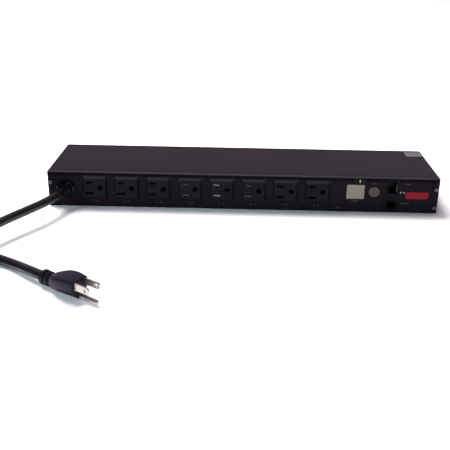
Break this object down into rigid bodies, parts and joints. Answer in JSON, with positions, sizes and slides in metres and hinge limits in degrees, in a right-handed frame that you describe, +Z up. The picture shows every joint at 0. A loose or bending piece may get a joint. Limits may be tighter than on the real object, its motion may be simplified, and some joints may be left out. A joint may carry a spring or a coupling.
{
  "type": "rack power strip",
  "caption": "Horizontal rack power strip with switched outlets, a load display, a network port and a corded plug, in a folded steel case one rack unit high.",
  "frame": {"origin": "bottom centre of the strip without its cord", "axes": "+X along the outlet face towards the display end, +Y from the outlet face to the blank face, +Z up"},
  "size_m": [0.6312, 0.3719, 0.0422],
  "materials": {
    "case_paint": "satin black paint",
    "screw_steel": "bright zinc-plated",
    "plain_steel": "zinc-plated",
    "outlet_plastic": "fine satin, moulded",
    "contact_brass": "stamped, bright",
    "insulator_fibre": "matt fibre sheet",
    "outlet_lens": "moulded, gloss",
    "panel_lens": "moulded, gloss",
    "display_window": "smooth, slightly glossy",
    "display_case": "moulded",
    "button_plastic": "satin, moulded",
    "switch_plastic": "moulded",
    "jack_plastic": "moulded, semi-gloss",
    "contact_gold": "gold-flashed",
    "board_laminate": "solder-masked laminate",
    "chip_epoxy": "moulded epoxy",
    "relay_case": "moulded",
    "transformer_steel": "varnished laminations",
    "capacitor_sleeve": "shrink sleeve",
    "sensor_case": "moulded",
    "wire_black": "vinyl insulation",
    "wire_white": "vinyl insulation",
    "wire_green": "vinyl insulation",
    "ribbon_grey": "flat cable",
    "label_foil": "printed foil label",
    "badge_red": "satin red mark",
    "relief_rubber": "semi-gloss moulded",
    "cord_jacket": "smooth vinyl, slight sheen",
    "tie_fabric": "hook-and-loop",
    "plug_vinyl": "moulded vinyl, slight sheen",
    "blade_nickel": "nickel-plated brass"
  },
  "bodies": {
    "case": {"chassis_tray": "case_paint", "top_cover": "case_paint", "cover_screws": "screw_steel", "bracket_nuts": "plain_steel", "neutral_bus": "contact_brass", "ground_bus": "contact_brass", "ground_nut": "plain_steel", "bus_insulator": "insulator_fibre", "outlet_indicators": "outlet_lens", "panel_indicators": "panel_lens", "display_window": "display_window", "display_module": "display_case", "button_switch": "switch_plastic", "network_jack": "jack_plastic", "network_jack_contacts": "contact_gold", "serial_jack": "jack_plastic", "serial_jack_contacts": "contact_gold", "control_board": "board_laminate", "processor_chip": "chip_epoxy", "ribbon_cable": "ribbon_grey", "relay_board": "board_laminate", "relays": "relay_case", "filter_capacitor": "capacitor_sleeve", "current_sensor": "sensor_case", "line_wire": "wire_black", "neutral_wire": "wire_white", "ground_wire": "wire_green", "board_standoffs": "plain_steel", "board_screws": "plain_steel", "top_label": "label_foil", "front_badge": "badge_red", "rear_badge": "badge_red", "strain_relief": "relief_rubber", "strain_relief_nut": "switch_plastic", "cord_lead": "cord_jacket", "cord_coil": "cord_jacket", "cord_tail": "cord_jacket", "coil_tie": "tie_fabric", "plug_body": "plug_vinyl", "plug_blades": "blade_nickel", "plug_ground_pin": "blade_nickel", "transformer": "transformer_steel", "outlet_1": "outlet_plastic", "hot_contact_1": "contact_brass", "outlet_2": "outlet_plastic", "hot_contact_2": "contact_brass", "outlet_3": "outlet_plastic", "hot_contact_3": "contact_brass", "outlet_4": "outlet_plastic", "hot_contact_4": "contact_brass", "outlet_5": "outlet_plastic", "hot_contact_5": "contact_brass", "outlet_6": "outlet_plastic", "hot_contact_6": "contact_brass", "outlet_7": "outlet_plastic", "hot_contact_7": "contact_brass", "outlet_8": "outlet_plastic", "hot_contact_8": "contact_brass"},
    "button": {"control_button": "button_plastic", "button_plunger": "switch_plastic"}
  },
  "joints": [
    {"name": "button_press", "type": "slide", "parent": "case", "child": "button", "axis": [0, 1, 0], "range_m": [0, 0.001], "stiffness_N_per_m": 600, "springref_m": -0.002}
  ]
}
